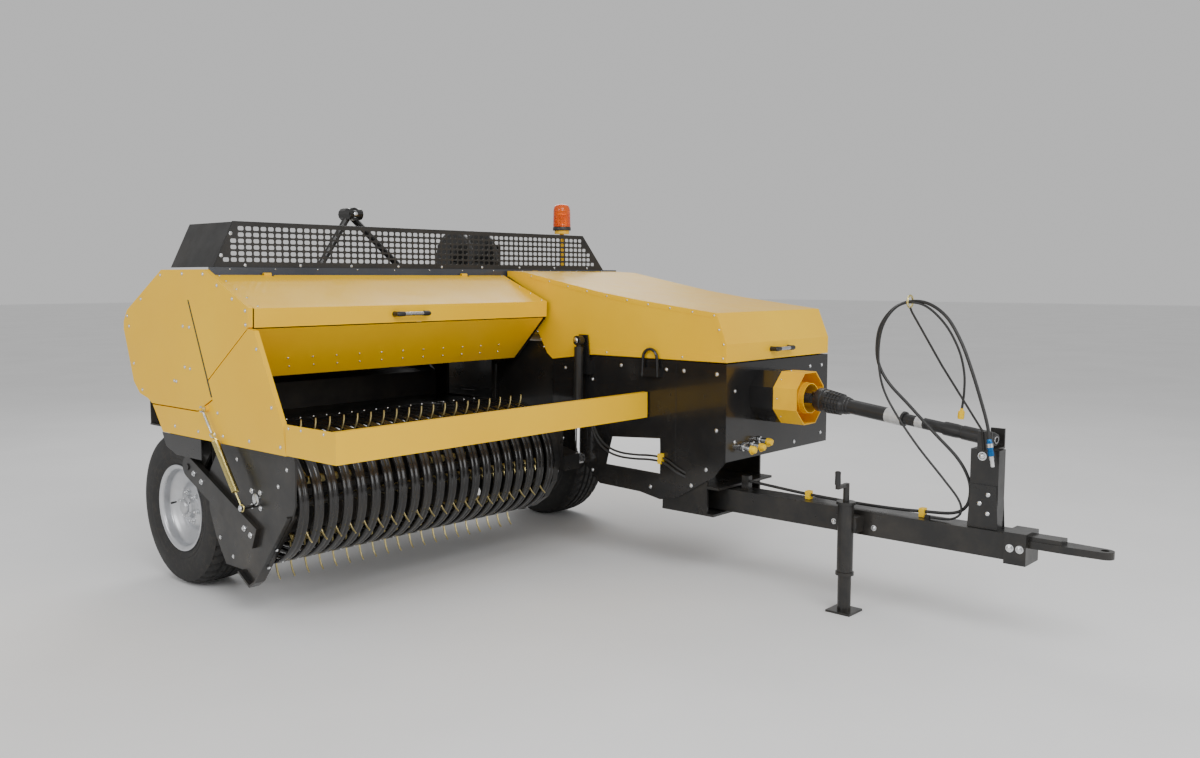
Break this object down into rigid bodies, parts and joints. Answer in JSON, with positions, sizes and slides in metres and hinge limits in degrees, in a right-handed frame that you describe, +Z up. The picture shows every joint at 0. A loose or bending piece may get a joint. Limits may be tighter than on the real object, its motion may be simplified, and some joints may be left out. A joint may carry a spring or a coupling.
{
  "type": "square baler",
  "caption": "Towed square baler with a tine pickup and feeder at one side, a long bale chamber with a rear chute, a swinging drawbar with a drive shaft and a jack.",
  "frame": {"origin": "centre of the machine's box on the ground", "axes": "+Y to the rear, the way bales leave; +X to the machine's left; +Z up"},
  "size_m": [2.831, 5.64, 1.945],
  "materials": {
    "chassis_black": "satin black paint",
    "black": "gloss black paint",
    "yellow": "gloss paint",
    "cast_iron": "dark casting",
    "slate": "dark slate paint",
    "amber": "clear amber",
    "tyre": "matte rubber",
    "galvanised": "silver lacquer",
    "tine_steel": "yellow passivated spring steel",
    "steel": "bare steel",
    "zinc_gold": "yellow passivated zinc",
    "rubber": "matte rubber",
    "blue": "blue anodised"
  },
  "bodies": {
    "chassis": {"axle": "chassis_black", "bale_chamber": "black", "feeder_floor": "black", "feeder_cover": "black", "right_end_cover": "yellow", "right_front_panel": "yellow", "hood_lower_panel": "yellow", "front_guard_bar": "yellow", "hitch_frame": "chassis_black", "gearbox": "cast_iron", "housing_front": "black", "housing_right": "black", "pto_guard": "yellow", "guard_strip": "slate", "mesh_guard": "black", "feeder_linkage": "chassis_black", "knotters": "chassis_black", "twine_box": "yellow", "beacon": "amber", "tension_frame": "chassis_black", "needle_yoke": "chassis_black"},
    "right_wheel": {"right_tyre": "tyre", "right_rim": "galvanised"},
    "left_wheel": {"left_tyre": "tyre", "left_rim": "galvanised"},
    "pickup": {"stripper_bands": "black", "pickup_right_side": "chassis_black", "pickup_left_side": "chassis_black"},
    "reel": {"pickup_reel": "tine_steel"},
    "cylinder_barrel": {"lift_cylinder": "black"},
    "cylinder_rod": {"lift_rod": "steel"},
    "spring": {"float_spring": "zinc_gold"},
    "hook": {"spring_hook": "zinc_gold"},
    "hood_over_pickup": {"pickup_hood": "yellow"},
    "hood_over_chamber": {"chamber_hood": "yellow"},
    "twine_lid": {"twine_box_lid": "yellow"},
    "chute": {"bale_chute": "yellow"},
    "drawbar": {"drawbar": "chassis_black", "jack_tube": "chassis_black", "shaft_post": "chassis_black", "hydraulic_hose": "rubber", "light_cable": "rubber", "hose_coupling": "blue"},
    "jack": {"jack_leg": "chassis_black"},
    "drive_shaft": {"pto_shaft": "black"},
    "front_shaft": {"pto_front_shaft": "steel"}
  },
  "joints": [
    {"name": "right_wheel_spin", "type": "hinge", "parent": "chassis", "child": "right_wheel", "pos_m": [-1.1795, 0.91, 0.38], "axis": [1, 0, 0], "continuous": true},
    {"name": "left_wheel_spin", "type": "hinge", "parent": "chassis", "child": "left_wheel", "pos_m": [1.0805, 0.72, 0.38], "axis": [1, 0, 0], "continuous": true},
    {"name": "pickup_lift", "type": "hinge", "parent": "chassis", "child": "pickup", "pos_m": [-0.5745, 0.68, 0.62], "axis": [1, 0, 0], "range_deg": [-6, 12]},
    {"name": "reel_spin", "type": "hinge", "parent": "pickup", "child": "reel", "pos_m": [-0.5745, 0.12, 0.54], "axis": [1, 0, 0], "continuous": true},
    {"name": "cylinder_swing", "type": "hinge", "parent": "chassis", "child": "cylinder_barrel", "pos_m": [0.4025, -0.174, 1.167], "axis": [1, 0, 0], "range_deg": [-2, 3]},
    {"name": "cylinder_rod_slide", "type": "slide", "parent": "cylinder_barrel", "child": "cylinder_rod", "axis": [0, 0.0141, -0.9999], "range_m": [-0.095, 0.18]},
    {"name": "spring_swing", "type": "hinge", "parent": "chassis", "child": "spring", "pos_m": [-1.3985, 0.462, 0.912], "axis": [1, 0, 0], "range_deg": [-6, 11]},
    {"name": "spring_stretch", "type": "slide", "parent": "spring", "child": "hook", "axis": [0, -0.6164, -0.7875], "range_m": [-0.045, 0.08]},
    {"name": "pickup_hood_hinge", "type": "hinge", "parent": "chassis", "child": "hood_over_pickup", "pos_m": [-0.4745, 0.428, 1.514], "axis": [-1, 0, 0], "range_deg": [0, 80]},
    {"name": "chamber_hood_hinge", "type": "hinge", "parent": "chassis", "child": "hood_over_chamber", "pos_m": [0.9255, 0.428, 1.53], "axis": [-1, 0, 0], "range_deg": [0, 50]},
    {"name": "twine_lid_hinge", "type": "hinge", "parent": "chassis", "child": "twine_lid", "pos_m": [0.9468, 0.82, 1.515], "axis": [0, -1, 0], "range_deg": [0, 85]},
    {"name": "chute_fold", "type": "hinge", "parent": "chassis", "child": "chute", "pos_m": [0.6985, 2.2, 0.752], "axis": [1, 0, 0], "range_deg": [0, 85]},
    {"name": "drawbar_swing", "type": "hinge", "parent": "chassis", "child": "drawbar", "pos_m": [0.6155, -0.78, 0.4], "axis": [0, 0, 1], "range_deg": [-18, 6]},
    {"name": "jack_wind", "type": "slide", "parent": "drawbar", "child": "jack", "axis": [0, 0, 1], "range_m": [0, 0.15]},
    {"name": "drive_shaft_swing", "type": "hinge", "parent": "chassis", "child": "drive_shaft", "pos_m": [0.7805, -1.4, 0.915], "axis": [-0.014, -0.0961, 0.9953], "range_deg": [-30, 12]},
    {"name": "drive_shaft_telescope", "type": "slide", "parent": "drive_shaft", "child": "front_shaft", "axis": [-0.143, -0.9849, -0.0971], "range_m": [-0.04, 0.12]}
  ],
  "couplings": [
    {"joint": "cylinder_swing", "follows": "pickup_lift", "ratio": 0.1684},
    {"joint": "cylinder_rod_slide", "follows": "pickup_lift", "m_per_rad": 0.8411},
    {"joint": "spring_swing", "follows": "pickup_lift", "ratio": 0.7933},
    {"joint": "spring_stretch", "follows": "pickup_lift", "m_per_rad": 0.3471},
    {"joint": "drive_shaft_swing", "follows": "drawbar_swing", "ratio": 1.554},
    {"joint": "drive_shaft_telescope", "follows": "drawbar_swing", "m_per_rad": -0.3519}
  ]
}
